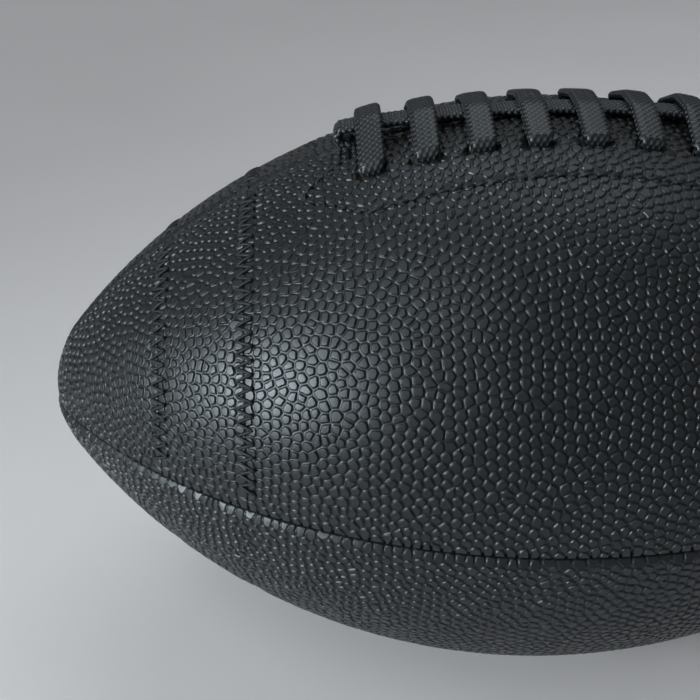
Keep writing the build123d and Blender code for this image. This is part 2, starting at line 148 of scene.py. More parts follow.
# Valve in the rear upper panel
VALVE_RADIUS = 4.5
VALVE_AXIS = (0.0, math.sqrt(0.5), math.sqrt(0.5))
SEAT_INNER = 3.9  # leather this near the valve's axis goes down beside the stem
SEAT_OUTER = 6.5  # leather this near is drawn outwards
SEAT_DROP = 1.9
SEAT_DIP = 0.25

# Floor, light and camera
FLOOR_DROP = 0.3
FLOOR_REACH = 6000.0
LAMP_TINT = (0.94, 0.975, 1.0)
WORLD_COLOR = (0.78, 0.79, 0.81, 1)
WORLD_STRENGTH = 0.24
CAMERA_LENS = 55.24
CAMERA_EYE = (-64.27, -277.62, 180.35)
CAMERA_ANGLES = (-1.828, 31.572, -0.006)  # azimuth, elevation and roll in degrees

HALF = LENGTH / 2
RADIUS = DIAMETER / 2
NOSE_CENTER = HALF - NOSE_RADIUS
BELLY_RADIUS = (NOSE_CENTER**2 + RADIUS**2 - NOSE_RADIUS**2) / (2 * (RADIUS - NOSE_RADIUS))
BELLY_CENTER = RADIUS - BELLY_RADIUS
MEET = math.asin(NOSE_CENTER / (BELLY_RADIUS - NOSE_RADIUS))
END_BAR = BAR_PITCH * (BAR_COUNT - 1) / 2
STRIP_HEIGHT = LACE_LIFT + LACE_THICK / 2
STRIP_ARC = 1 / (1 / (BELLY_RADIUS + STRIP_HEIGHT) - 2 * END_LIFT / END_BAR**2)
STRIP_CENTER = RADIUS + STRIP_HEIGHT - STRIP_ARC
TIP_ARC = BELLY_RADIUS * MEET + NOSE_RADIUS * (math.acos(TIP_GAP / NOSE_RADIUS) - MEET)
QUARTER = math.pi / 2


# The leather's face

def meridian(arc):
    """Place on the long axis, radius and slope of the leather's face, by arc length from the middle."""
    bend = np.abs(arc) / BELLY_RADIUS
    on_nose = bend > MEET
    slope = np.where(on_nose, MEET + (np.abs(arc) - BELLY_RADIUS * MEET) / NOSE_RADIUS, bend)
    curve = np.where(on_nose, NOSE_RADIUS, BELLY_RADIUS)
    x = np.where(on_nose, NOSE_CENTER, 0.0) + curve * np.sin(slope)
    radius = np.where(on_nose, 0.0, BELLY_CENTER) + curve * np.cos(slope)
    return np.sign(arc) * x, radius, np.sign(arc) * slope


def arc_at(x):
    """Arc length from the middle to a place on the belly's long axis."""
    return BELLY_RADIUS * math.asin(x / BELLY_RADIUS)


# Stretched length in which the ball unrolls with true angles, so that round pebbles stay round
ARCS = np.linspace(-TIP_ARC, TIP_ARC, 8001)
GROWTH = 1.0 / meridian(ARCS)[1]
STRETCH = np.concatenate([[0.0], np.cumsum((GROWTH[1:] + GROWTH[:-1]) / 2 * np.diff(ARCS))])
STRETCH -= np.interp(0.0, ARCS, STRETCH)


def place(arc, turn, lift, seams):
    """Points over the leather's face. The turn runs from the first seam's direction to the second's."""
    x, radius, slope = meridian(arc)
    first, second = np.array(seams[0], float), np.array(seams[1], float)
    around = np.cos(turn)[..., None] * first + np.sin(turn)[..., None] * second
    reach = radius + lift * np.cos(slope)
    return np.concatenate([(x + lift * np.sin(slope))[..., None], around * reach[..., None]], axis=-1)


def smooth_step(value, low, high):
    """A share that eases from 0 at the low value to 1 at the high one."""
    share = np.clip((value - low) / (high - low), 0.0, 1.0)
    return share * share * (3 - 2 * share)


# Stitch line of the facing beside the laces, seen from above

def evenly(line, step):
    """Evenly spaced points along a line."""
    line = line[np.concatenate([[True], np.linalg.norm(np.diff(line, axis=0), axis=1) > SAME_POINT])]
    along = np.concatenate([[0.0], np.cumsum(np.linalg.norm(np.diff(line, axis=0), axis=1))])
    even = np.linspace(0, along[-1], max(2, round(along[-1] / step) + 1))
    return np.stack([np.interp(even, along, line[:, k]) for k in range(line.shape[1])], axis=1)


def smooth_line(points, step):
    """Evenly spaced points along a smooth line that cuts the corners of a route."""
    route = np.array(points, float)
    padded = np.vstack([2 * route[0] - route[1], route, 2 * route[-1] - route[-2]])
    share = np.linspace(0, 1, CURVE_POINTS, endpoint=False)[:, None]
    spans = []
    for a, b, c in zip(padded, padded[1:], padded[2:]):
        spans.append(0.5 * ((1 - share) ** 2 * a + (1 + 2 * share - 2 * share**2) * b + share**2 * c))
    return evenly(np.vstack([*spans, 0.5 * (padded[-2] + padded[-1])[None]]), step)


def eased(corners):
    """A route with two more points beside each corner, so that a smooth line rounds only the corner."""
    points = [np.array(corners[0][0], float)]
    for (before, _), (corner, ease), (after, _) in zip(corners, corners[1:], corners[2:]):
        for toward in (before, None, after):
            point = np.array(corner, float)
            if toward is not None:
                run = np.array(toward, float) - point
                point += run / np.linalg.norm(run) * ease
            points.append(point)
    return [*points, np.array(corners[-1][0], float)]


def stay_line(step):
    """A facing's stitch line, as places on the long axis and distances from the seam."""
    right = [(STAY_SHOULDER, STAY_EASE), (STAY_EAR, EAR_EASE), ((STAY_START, 0.0), 0.0)]
    left = [((-x, y), ease) for (x, y), ease in reversed(right)]
    return smooth_line(eased([*left, ((0.0, STAY_WAIST), STAY_EASE), *right]), step)


# Pebbles

def radius_at(stretch):
    """Radius of the leather's face at a stretched length."""
    return meridian(np.interp(stretch, STRETCH, ARCS))[1]


def mirrored(sites, box):
    """Sites with copies across the edges of their box, which make the cells end on those edges."""
    for axis in (0, 1):
        copies = [sites]
        reach = MIRROR_REACH * PEBBLE / radius_at(sites[:, 0])
        for edge in box[axis]:
            near = sites[np.abs(sites[:, axis] - edge) < reach].copy()
            near[:, axis] = 2 * edge - near[:, axis]
            copies.append(near)
        sites = np.vstack(copies)
    return sites


def cells_of(sites, box):
    """Corners of the cells around the sites, and for each site the corners in order around it."""
    everything = mirrored(sites, box)
    found = delaunay_2d_cdt([Vector(p) for p in everything], [], [], 0, SAME_POINT)
    vertices, _, triangles, sources, *_ = found
    points = np.array([(v.x, v.y) for v in vertices])
    source = np.array([ids[0] if ids else -1 for ids in sources])
    triangles = np.array(triangles)
    # A cell's corners are the centres of the circles through the triangles at its site
    a, b, c = (points[triangles[:, k]] for k in range(3))
    ab, ac = b - a, c - a
    cross = 2 * (ab[:, 0] * ac[:, 1] - ab[:, 1] * ac[:, 0])
    ab2, ac2 = (ab**2).sum(1), (ac**2).sum(1)
    centre = a + np.stack(
        [(ac[:, 1] * ab2 - ab[:, 1] * ac2) / cross, (ab[:, 0] * ac2 - ac[:, 0] * ab2) / cross], axis=1
    )
    for axis in (0, 1):
        for edge in box[axis]:
            on_edge = np.abs(centre[:, axis] - edge) < ON_EDGE
            centre[on_edge, axis] = edge
    keys = np.round(centre, 6)
    corners, corner_of = np.unique(keys, axis=0, return_inverse=True)
    corner_of = corner_of.reshape(-1)
    owner = source[triangles].ravel()
    spoke = np.repeat(np.arange(len(triangles)), 3)
    inside = (owner >= 0) & (owner < len(sites))
    owner, spoke = owner[inside], spoke[inside]
    offset = centre[spoke] - everything[owner]
    order = np.lexsort((np.arctan2(offset[:, 1], offset[:, 0]), owner))
    owner, ring = owner[order], corner_of[spoke[order]]
    cells = np.split(ring, np.flatnonzero(np.diff(owner)) + 1)
    return corners, [cell[cell != np.roll(cell, 1)] for cell in cells]


def pebble_sites(low, high):
    """Pebble centres between two arc lengths, in loose rows over a quarter turn."""
    rows = max(1, round((high - low) / (PEBBLE * ROW_SPACING)))
    found = []
    for row in range(rows):
        arc = low + (row + 0.5) * (high - low) / rows
        radius = float(meridian(np.array(arc))[1])
        count = max(1, round(radius * QUARTER / PEBBLE))
        shift = ROW_SHIFT if row % 2 else -ROW_SHIFT
        wander = PEBBLE_WANDER * random.uniform(-1, 1, count)
        turn = (np.arange(count) + 0.5 + shift + wander) / count * QUARTER
        arcs = arc + PEBBLE * PEBBLE_WANDER * random.uniform(-1, 1, count)
        found.append(np.stack([arcs, turn], axis=1))
    sites = np.vstack(found)
    margin = PEBBLE_MARGIN * PEBBLE
    turn_margin = np.minimum(margin / meridian(sites[:, 0])[1], QUARTER / 2)
    sites[:, 1] = np.clip(sites[:, 1], turn_margin, QUARTER - turn_margin)
    sites[:, 0] = np.clip(sites[:, 0], low + margin, high - margin)
    sites[:, 0] = np.interp(sites[:, 0], ARCS, STRETCH)
    return sites


class Leather:
    """Pebbles of one leather piece between two seams and two arc lengths, laid out flat."""

    def __init__(self, low, high, rims):
        self.low, self.high, self.rims = low, high, rims
        self.box = ((np.interp(low, ARCS, STRETCH), np.interp(high, ARCS, STRETCH)), (0.0, QUARTER))
        sites = pebble_sites(low, high)
        for _ in range(EVENING_ROUNDS):
            corners, cells = cells_of(sites, self.box)
            sites = np.array([corners[cell].mean(axis=0) for cell in cells])
        self.corners, self.cells = cells_of(sites, self.box)
        self.rings()

    def on_outline(self, a, b):
        """Whether a cell's side lies on an edge of the box."""
        first, second = self.corners[a], self.corners[b]
        return any(
            abs(first[axis] - edge) < ON_EDGE and abs(second[axis] - edge) < ON_EDGE
            for axis in (0, 1)
            for edge in self.box[axis]
        )

    def rings(self):
        """Flat layout: shared valley points, then rings at each pebble's foot, shoulder and crown."""
        flat = [tuple(p) for p in self.corners]
        level = [-1.0] * len(flat)
        middles, faces, floor, walls = {}, [], [], []
        for cell in self.cells:
            size = len(cell)
            valley, floor_ring = [], []
            for a, b in zip(cell, np.roll(cell, -1)):
                key = (min(a, b), max(a, b))
                if key not in middles:
                    middles[key] = len(flat)
                    flat.append(tuple((self.corners[a] + self.corners[b]) / 2))
                    level.append(-1.0)
                valley += [int(a), middles[key]]
                floor_ring.append(int(a))
                if self.on_outline(a, b):
                    floor_ring.append(middles[key])
                    walls += [(int(a), middles[key]), (middles[key], int(b))]
            outline = np.array([flat[k] for k in valley])
            centre = outline.mean(axis=0)
            radius = float(radius_at(centre[0]))
            spokes = outline - centre
            reach = np.linalg.norm(spokes, axis=1) * radius
            corner = np.arange(2 * size) % 2 == 0
            top = float(random.uniform(*PEBBLE_LIFT))
            levels = (-1.0, top - SHOULDER_DROP / VALLEY_DEPTH, top)
            rings = [valley]
            for (at_corner, at_side, least), ring_level in zip((FOOT, SHOULDER, CROWN), levels):
                share = np.maximum(1 - np.where(corner, at_corner, at_side) / reach, least)
                rings.append(list(range(len(flat), len(flat) + 2 * size)))
                flat += [tuple(p) for p in centre + spokes * share[:, None]]
                level += [ring_level] * (2 * size)
            for outer, inner in zip(rings, rings[1:]):
                for k in range(2 * size):
                    n = (k + 1) % (2 * size)
                    faces.append((outer[k], outer[n], inner[n], inner[k]))
            faces.append(tuple(rings[-1]))
            floor.append(floor_ring)
        self.flat, self.level = np.array(flat), np.array(level)
        self.faces, self.floor, self.walls = faces, floor, walls

    def heights(self, arc, turn):
        """Height of each point over the smooth ball, and the share of the grain that is left there."""
        radius = meridian(arc)[1]
        relief = np.ones(len(arc))
        sunk = np.zeros(len(arc))
        for rim, away in zip(self.rims, (radius * turn, radius * (QUARTER - turn))):
            width = rim["width"]
            relief *= rim["grain"] + (1 - rim["grain"]) * smooth_step(away / width, *RIM_FADE)
            sunk += RIM_DEPTH * np.clip(1 - away / rim["fold"], 0, 1) ** 2
            sunk += rim["slope"] * np.clip(1 - away / width, 0, 1) ** RIM_ROUND * width
            sunk -= rim["proud"] * np.exp(-(((away - width) / (RIM_SWELL * width)) ** 2))
        for end in (self.low, self.high):
            relief *= JOINT_GRAIN + (1 - JOINT_GRAIN) * smooth_step(np.abs(arc - end), *JOINT_FADE)
        for joint in (STRIPE_INNER, STRIPE_OUTER):
            sunk += needle_dents(arc, turn, arc_at(joint)) + needle_dents(arc, turn, -arc_at(joint))
        return relief * self.level * VALLEY_DEPTH - sunk, relief


def needle_dents(arc, turn, joint):
    """Dents at the needle holes of a zigzag row, and a slight pinch along the row."""
    radius = float(meridian(np.array(joint))[1])
    count = int((radius * QUARTER - 2 * ZIGZAG_MARGIN) / ZIGZAG_STEP)
    first = QUARTER / 2 * radius - count * ZIGZAG_STEP / 2
    along = radius * turn - first
    across = (arc - joint) * math.copysign(1, joint)
    sewn = (along > -ZIGZAG_RUN_OUT) & (along < count * ZIGZAG_STEP + ZIGZAG_RUN_OUT)
    depth = PINCH[0] * np.exp(-((across / PINCH[1]) ** 2))
    for side, shift in ((-1, 0.0), (1, 1.0)):
        nearest = 2 * np.round((along / ZIGZAG_STEP - shift) / 2) + shift
        apart = np.hypot(along - nearest * ZIGZAG_STEP, across - side * NEEDLE_REACH)
        depth = np.maximum(depth, NEEDLE_DENT[0] * np.exp(-((apart / NEEDLE_DENT[1]) ** 2)))
    return np.where(sewn, depth, 0.0)


def line_distance(points, line):
    """Distance from each point to a line of short straight runs."""
    best = np.full(len(points), 1e9)
    for start, end in zip(line, line[1:]):
        run = end - start
        share = np.clip(((points - start) @ run) / (run @ run), 0, 1)
        best = np.minimum(best, np.linalg.norm(points - start - share[:, None] * run, axis=1))
    return best


def upper_dents(arc, turn):
    """Depth of the facing's stitch line and of the lace holes, and how far each point is in a hole."""
    x, radius, _ = meridian(arc)
    out = radius * np.sin(turn)
    sunk, mouth = np.zeros(len(arc)), np.zeros(len(arc))
    farthest, widest = STAY_LIMITS
    near = (np.abs(x) < farthest) & (turn < widest)
    apart = line_distance(np.stack([x[near], out[near]], axis=1), stay_line(STAY_DENT_STEP))
    dent, dent_width = STAY_DENT
    swell, swell_place, swell_width = STAY_SWELL
    sunk[near] += dent * np.exp(-((apart / dent_width) ** 2))
    sunk[near] -= swell * np.exp(-(((apart - swell_place) / swell_width) ** 2))
    for number in range(BAR_COUNT):
        middle = (number - (BAR_COUNT - 1) / 2) * BAR_PITCH
        along = np.abs(arc - middle) - LACE_WIDTH / 2
        across = np.abs(radius * turn - HOLE_OFFSET) - LACE_THICK / 2
        gap = np.hypot(np.maximum(along, 0), np.maximum(across, 0))
        mouth = np.maximum(mouth, 1 - smooth_step(gap, *MOUTH_EDGE))
    return sunk + MOUTH_DEPTH * mouth, mouth


def valve_seat(points):
    """Opens the leather round the valve: points near its axis go down beside the stem."""
    axis = np.array(VALVE_AXIS)
    height = points @ axis
    aside = points - height[:, None] * axis
    away = np.linalg.norm(aside, axis=1)
    seated = (away < SEAT_OUTER) & (height > 0)
    beside = away < SEAT_INNER
    drawn = VALVE_RADIUS + (away - SEAT_INNER) * (SEAT_OUTER - VALVE_RADIUS) / (SEAT_OUTER - SEAT_INNER)
    share = np.where(beside, VALVE_RADIUS / SEAT_INNER, drawn / away)
    drop = np.where(beside, SEAT_DROP, SEAT_DIP * (1 - smooth_step(away, SEAT_INNER, SEAT_OUTER)))
    moved = aside * share[:, None] + (height - drop)[:, None] * axis
    return np.where(seated[:, None], moved, points)


# Meshes

def new_mesh(name, points, faces, material, body="ball"):
    """A smooth mesh object from points in millimetres, riding on a body."""
    mesh = bpy.data.meshes.new(name)
    mesh.from_pydata((np.asarray(points) * MM).tolist(), [], faces)
    mesh.polygons.foreach_set("use_smooth", [True] * len(mesh.polygons))
    mesh.materials.append(material)
    piece = bpy.data.objects.new(name, mesh)
    bpy.context.collection.objects.link(piece)
    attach(piece, body)
    return piece


def add_layout(piece, layout):
    """A layout named OFBake: one place in the unit square for each point."""
    mesh = piece.data
    corner_points = np.empty(len(mesh.loops), dtype=np.int32)
    mesh.loops.foreach_get("vertex_index", corner_points)
    uv = mesh.uv_layers.new(name="OFBake")
    uv.data.foreach_set("uv", layout[corner_points].astype(np.float32).ravel())


def add_value(piece, name, values):
    """A value from 0 to 1 at each point, for the material."""
    attribute = piece.data.attributes.new(name, "FLOAT", "POINT")
    attribute.data.foreach_set("value", np.clip(values, 0, 1).astype(np.float32))


def leather_piece(name, low, high, seams, rims, laced=False, valve=False):
    """Builds one leather piece, with lace holes or a seat for the valve where it has them."""
    leather = Leather(low, high, rims)
    arc = np.interp(leather.flat[:, 0], STRETCH, ARCS)
    turn = leather.flat[:, 1]
    height, relief = leather.heights(arc, turn)
    raw = np.zeros(len(arc))
    if laced:
        sunk, raw = upper_dents(arc, turn)
        height -= sunk
    outside = place(arc, turn, height, seams)
    if valve:
        outside = valve_seat(outside)
    used = sorted({k for ring in leather.floor for k in ring})
    below = {k: len(outside) + n for n, k in enumerate(used)}
    inside = place(arc[used], turn[used], np.full(len(used), -UNDERSIDE), seams)
    if valve:
        inside = valve_seat(inside)
    faces = list(leather.faces)
    faces += [tuple(below[k] for k in reversed(ring)) for ring in leather.floor]
    faces += [(b, a, below[a], below[b]) for a, b in leather.walls]
    # At the rear the seams follow each other the other way round, so the faces are turned over
    first, second = seams
    if first[0] * second[1] - first[1] * second[0] < 0:
        faces = [tuple(reversed(face)) for face in faces]
    piece = new_mesh(name, np.vstack([outside, inside]), faces, LEATHER)
    flat_tops = piece.modifiers.new("flat_tops", "WEIGHTED_NORMAL")
    flat_tops.mode = "FACE_AREA"
    flat_tops.weight = FLAT_TOP_WEIGHT
    share = np.stack([(arc - low) / (high - low), turn / QUARTER], axis=1)
    shown, hidden = share * OUTSIDE_SIZE + OUTSIDE_START, share[used] * INSIDE_SIZE + INSIDE_START
    add_layout(piece, np.vstack([shown, hidden]))
    unseen = np.zeros(len(used))
    # Level of painted shade: 0 in the valleys, where the colour is painted darkest, up to 1 on the
    # pebbles' tops.
    painted_shade_level = 1 + leather.level * np.maximum(relief, LEAST_TONE)
    add_value(piece, "relief", np.concatenate([painted_shade_level, unseen]))
    add_value(piece, "raw_edge", np.concatenate([raw, unseen]))
    return piece


def swept(centres, across, section, relief, breadth=1.0):
    """A closed bar: a section moved along a line, pushed out by a relief, with a changing breadth."""
    count, around = len(centres), len(section)
    ahead = np.gradient(centres, axis=0)
    ahead /= np.linalg.norm(ahead, axis=1)[:, None]
    up = np.cross(ahead, across)
    edge = np.roll(section, -1, axis=0) - np.roll(section, 1, axis=0)
    outward = np.stack([edge[:, 1], -edge[:, 0]], axis=1)
    outward /= np.linalg.norm(outward, axis=1)[:, None]
    placed = section[None] + outward[None] * relief[..., None]
    sideways = np.broadcast_to(across, centres.shape) * np.broadcast_to(breadth, count)[:, None]
    points = centres[:, None] + placed[..., :1] * sideways[:, None] + placed[..., 1:] * up[:, None]
    ring = np.arange(around)
    faces = []
    for k in range(count - 1):
        low, high = k * around, (k + 1) * around
        after = np.roll(ring, -1)
        faces += np.stack([low + ring, low + after, high + after, high + ring], axis=1).tolist()
    faces.append(list(reversed(range(around))))
    faces.append(list(range((count - 1) * around, count * around)))
    rows, columns = (np.linspace(LAYOUT_EDGE, 1 - LAYOUT_EDGE, size) for size in (count, around))
    layout = np.stack([np.repeat(rows, around), np.tile(columns, count)], axis=1)
    return points.reshape(-1, 3), faces, layout


def lace_section(width):
    """Flat section of the lace with rolled edges, dense on its outer face, and the distances round it."""
    angle = np.linspace(0, 2 * math.pi, SECTION_STEPS + 1)
    sides = []
    for wave, power, size in zip((np.cos(angle), np.sin(angle)), LACE_SQUARE, (width, LACE_THICK)):
        sides.append(np.sign(wave) * np.abs(wave) ** power * (size / 2 - YARN_HEIGHT / 2))
    fine = np.stack(sides, axis=1)
    around = np.concatenate([[0.0], np.cumsum(np.linalg.norm(np.diff(fine, axis=0), axis=1))])
    half, total = around[SECTION_STEPS // 2], around[-1]
    face = np.linspace(0, half, round(half / LACE_STEP), endpoint=False)
    under = np.linspace(half, total, UNDER_POINTS, endpoint=False)
    at = np.concatenate([face, under])
    return np.stack([np.interp(at, around, fine[:, k]) for k in (0, 1)], axis=1), at, total


def braid(along, around, total):
    """Height of a flat braid's yarns, which cross over one and under one."""
    period = YARN * math.sqrt(2)
    turns = round(total / period / 2) * 2
    left = along / period + around / total * turns
    right = along / period - around / total * turns
    over = (np.floor(left) + np.floor(right)) % 2 < 1
    crest = np.sin(math.pi * (np.where(over, left, right) % 1)) ** YARN_ROUND
    arch = np.sin(math.pi * (np.where(over, right, left) % 1)) ** YARN_ROUND
    return crest * (1 - YARN_DIP + YARN_DIP * arch)


def lace(width, centres, across, mouth=1.0):
    """Points, faces, layout and relief of one braided run of lace, narrower by a share at its ends."""
    section, around, total = lace_section(width)
    along = np.concatenate([[0.0], np.cumsum(np.linalg.norm(np.diff(centres, axis=0), axis=1))])
    level = braid(along[:, None], around[None], total)
    from_end = np.minimum(along, along[-1] - along)
    breadth = mouth + (1 - mouth) * smooth_step(from_end, LEG_DEPTH, LEG_DEPTH + MOUTH_RUN)
    points, faces, layout = swept(centres, across, section, level * YARN_HEIGHT, breadth)
    return points, faces, layout, level.ravel()


def joined(name, runs, material):
    """One object from several runs of points, faces, layout and relief."""
    points, faces, layouts, levels, start = [], [], [], [], 0
    for number, (run, run_faces, layout, level) in enumerate(runs):
        points.append(run)
        faces += [tuple(k + start for k in face) for face in run_faces]
        layouts.append((layout + (0, number)) / (1, len(runs)))
        levels.append(level)
        start += len(run)
    piece = new_mesh(name, np.vstack(points), faces, material)
    add_layout(piece, np.vstack(layouts))
    add_value(piece, "relief", np.concatenate(levels))
    return piece


def strip_at(slope):
    """Height of the lengthwise lace over the leather at a slope of the leather, and its tilt there."""
    ahead = BELLY_CENTER - STRIP_CENTER
    reach = math.sqrt(STRIP_ARC**2 - (ahead * math.sin(slope)) ** 2) - ahead * math.cos(slope)
    return reach - BELLY_RADIUS, slope - math.asin(reach * math.sin(slope) / STRIP_ARC)


def bar_route(number):
    """Line of one bar of the lacing, from leg to leg, and the direction across it."""
    slope = (number - (BAR_COUNT - 1) / 2) * BAR_PITCH / BELLY_RADIUS
    up = np.array([math.sin(slope), 0, math.cos(slope)])
    crossing = BELLY_RADIUS * up + (0, 0, BELLY_CENTER)
    cross_radius = crossing[2] / math.cos(slope)
    turn = HOLE_OFFSET / cross_radius
    height, tilt = strip_at(slope)
    crest = height + LACE_THICK + CREST_EASE + LACE_WIDTH / 2 * abs(math.sin(tilt))
    half = []
    for rise in (-LEG_DEPTH, LEG_BEND, BAR_RISE):
        reach = cross_radius + rise
        half.append(np.array([reach * math.sin(turn), reach * math.cos(turn) - cross_radius]))
    shoulder = np.array([STRIP_WIDTH / 2 + BAR_SHOULDER, crest])
    run = half[-1] - shoulder
    half += [shoulder + run * share for share in BAR_SLOPE]
    half += [shoulder, np.array([BAR_CREST, crest])]
    route = [(-y, z) for y, z in half] + half[::-1]
    line = smooth_line(route, LACE_STEP)
    centres = crossing + line[:, :1] * np.array([0.0, 1.0, 0.0]) + line[:, 1:] * up
    # Out of the leather a bar stands upright, not square to the leather
    over_leather = np.hypot(line[:, 0], cross_radius + line[:, 1]) - cross_radius
    centres[:, 0] -= np.maximum(over_leather, 0) * up[0]
    return centres, np.array([math.cos(slope), 0, -math.sin(slope)])


def arc_points(center, radius, start, end):
    """Points on an arc between two angles from the long axis towards the laces."""
    angle = np.linspace(start, end, BEND_POINTS)
    return np.array(center) + radius * np.stack([np.cos(angle), np.sin(angle)], axis=1)


def length_route():
    """Line of the lace along the seam: flatter than the ball, curled back at its ends, then down."""
    curl_slope = (END_BAR + END_REACH) / STRIP_ARC
    start = np.array([STRIP_ARC * math.sin(curl_slope), STRIP_CENTER + STRIP_ARC * math.cos(curl_slope)])
    leg_slope = math.atan2(start[0], start[1] - BELLY_CENTER)
    height, tilt = strip_at(leg_slope)
    curl = (height - LACE_THICK / 2 - LOOP_LIFT) / (2 * math.cos(tilt))
    up = np.array([math.sin(curl_slope), math.cos(curl_slope)])
    square = math.pi / 2 - curl_slope
    bend_center = start - up * (2 * curl + LACE_BEND)
    bend_end = math.pi - leg_slope
    leg_up = np.array([math.sin(leg_slope), math.cos(leg_slope)])
    top = bend_center + LACE_BEND * np.array([math.cos(bend_end), math.sin(bend_end)])
    half = np.vstack([
        arc_points((0, STRIP_CENTER), STRIP_ARC, math.pi / 2, square),
        arc_points(start - up * curl, curl, square, square - math.pi)[1:],
        arc_points(bend_center, LACE_BEND, square, bend_end)[1:],
        (top - leg_up * LEG_DEPTH)[None],
    ])
    line = evenly(np.vstack([half[:0:-1] * (-1, 1), half]), LACE_STEP)
    return np.stack([line[:, 0], np.zeros(len(line)), line[:, 1]], axis=1), np.array([0.0, 1.0, 0.0])


def stitches(name, ends, height, material):
    """Stitches between pairs of points on the leather, each out of one hole and into the other."""
    share = np.linspace(0, 1, STITCH_POINTS)
    rise = np.sin(math.pi * share) ** STITCH_ROUND * (height + STITCH_DIVE) - STITCH_DIVE
    angle = np.linspace(0, 2 * math.pi, STITCH_SIDES, endpoint=False)
    section = np.stack([np.cos(angle), np.sin(angle)], axis=1) * THREAD
    smooth = np.zeros((STITCH_POINTS, STITCH_SIDES))
    runs = []
    for start, end, outward in ends:
        centres = start + (end - start) * share[:, None] + outward * rise[:, None]
        across = np.cross(outward, end - start)
        across /= np.linalg.norm(across)
        points, faces, layout = swept(centres, across, section, smooth)
        runs.append((points, faces, layout, np.ones(len(points))))
    return joined(name, runs, material)


def on_leather(arc, turn, seams, lift):
    """One point over the leather, and its outward direction."""
    low, high = place(np.array([arc, arc]), np.array([turn, turn]), np.array([lift, lift + 1]), seams)
    return low, high - low


# Materials

SATIN_TINT = (0.84, 0.95, 1.0, 1.0)  # of the gloss of dyed leather, lace and thread


def shader(name, color, roughness, **sockets):
    """A surface whose plain values sit on the shader's own sockets."""
    material = bpy.data.materials.new(name)
    material.use_nodes = True
    surface = material.node_tree.nodes["Principled BSDF"]
    surface.inputs["Base Color"].default_value = (*color, 1)
    surface.inputs["Roughness"].default_value = roughness
    for socket, value in sockets.items():
        surface.inputs[socket.replace("_", " ")].default_value = value
    return material, material.node_tree, surface


def ramp(tree, source, stops):
    """Colours along a value."""
    node = tree.nodes.new("ShaderNodeValToRGB")
    while len(node.color_ramp.elements) < len(stops):
        node.color_ramp.elements.new(0.5)
    for element, (position, color) in zip(node.color_ramp.elements, stops):
        element.position = position
        element.color = (*color, 1)
    tree.links.new(source, node.inputs["Fac"])
    return node.outputs["Color"]


def spread(tree, source, low, high):
    """A value from 0 to 1 spread between two limits."""
    node = tree.nodes.new("ShaderNodeMapRange")
    node.inputs["To Min"].default_value = low
    node.inputs["To Max"].default_value = high
    tree.links.new(source, node.inputs["Value"])
    return node.outputs["Result"]


def noise(tree, scale, detail):
    """Noise in the object's own metres."""
    place_node = tree.nodes.new("ShaderNodeTexCoord")
    node = tree.nodes.new("ShaderNodeTexNoise")
    node.inputs["Scale"].default_value = scale
    node.inputs["Detail"].default_value = detail
    tree.links.new(place_node.outputs["Object"], node.inputs["Vector"])
    return node.outputs["Fac"]


def bump(tree, surface, source, strength, distance):
    """Fine relief of a surface from a value."""
    node = tree.nodes.new("ShaderNodeBump")
    node.inputs["Strength"].default_value = strength
    node.inputs["Distance"].default_value = distance
    tree.links.new(source, node.inputs["Height"])
    tree.links.new(node.outputs["Normal"], surface.inputs["Normal"])


def point_value(tree, name):
    """A value that the mesh carries at its points."""
    node = tree.nodes.new("ShaderNodeAttribute")
    node.attribute_name = name
    return node.outputs["Fac"]


def color_mix(tree, kind, first, second, share=None):
    """Two colours mixed, wholly or by a value."""
    node = tree.nodes.new("ShaderNodeMix")
    node.data_type = "RGBA"
    node.blend_type = kind
    node.inputs["Factor"].default_value = 1.0
    if share:
        tree.links.new(share, node.inputs["Factor"])
    tree.links.new(first, node.inputs["A"])
    tree.links.new(second, node.inputs["B"])
    return node.outputs["Result"]


def make_leather():
    """Black satin leather with painted shade that darkens its pebbles' walls and valleys, and with tan
    raw edges in the lace holes.
    """
    material, tree, surface = shader("leather", (0.011, 0.0122, 0.0135), 0.36, Specular_Tint=SATIN_TINT)
    # Painted shade: the pebbles' walls and valleys get darker colours than their tops, which keep the
    # leather's own black.
    valley, wall, top = (0.006, 0.0066, 0.0072), (0.009, 0.0098, 0.0108), (0.0125, 0.0138, 0.015)
    depth = [(0.0, valley), (0.6, wall), (1.0, top)]
    painted_valley_shade = ramp(tree, point_value(tree, "relief"), depth)
    cloud = ramp(tree, noise(tree, 38.0, 4.0), [(0.3, (0.75, 0.75, 0.77)), (0.7, (1.0, 1.0, 1.0))])
    face = color_mix(tree, "MULTIPLY", painted_valley_shade, cloud)
    tan = ramp(tree, noise(tree, 900.0, 3.0), [(0.3, (0.05, 0.034, 0.02)), (0.7, (0.11, 0.077, 0.046))])
    raw = spread(tree, point_value(tree, "raw_edge"), -0.6, 1.0)
    tree.links.new(color_mix(tree, "MIX", face, tan, raw), surface.inputs["Base Color"])
    tree.links.new(spread(tree, noise(tree, 420.0, 3.0), 0.3, 0.42), surface.inputs["Roughness"])
    bump(tree, surface, noise(tree, 2600.0, 4.0), 0.16, 0.0002)
    return material


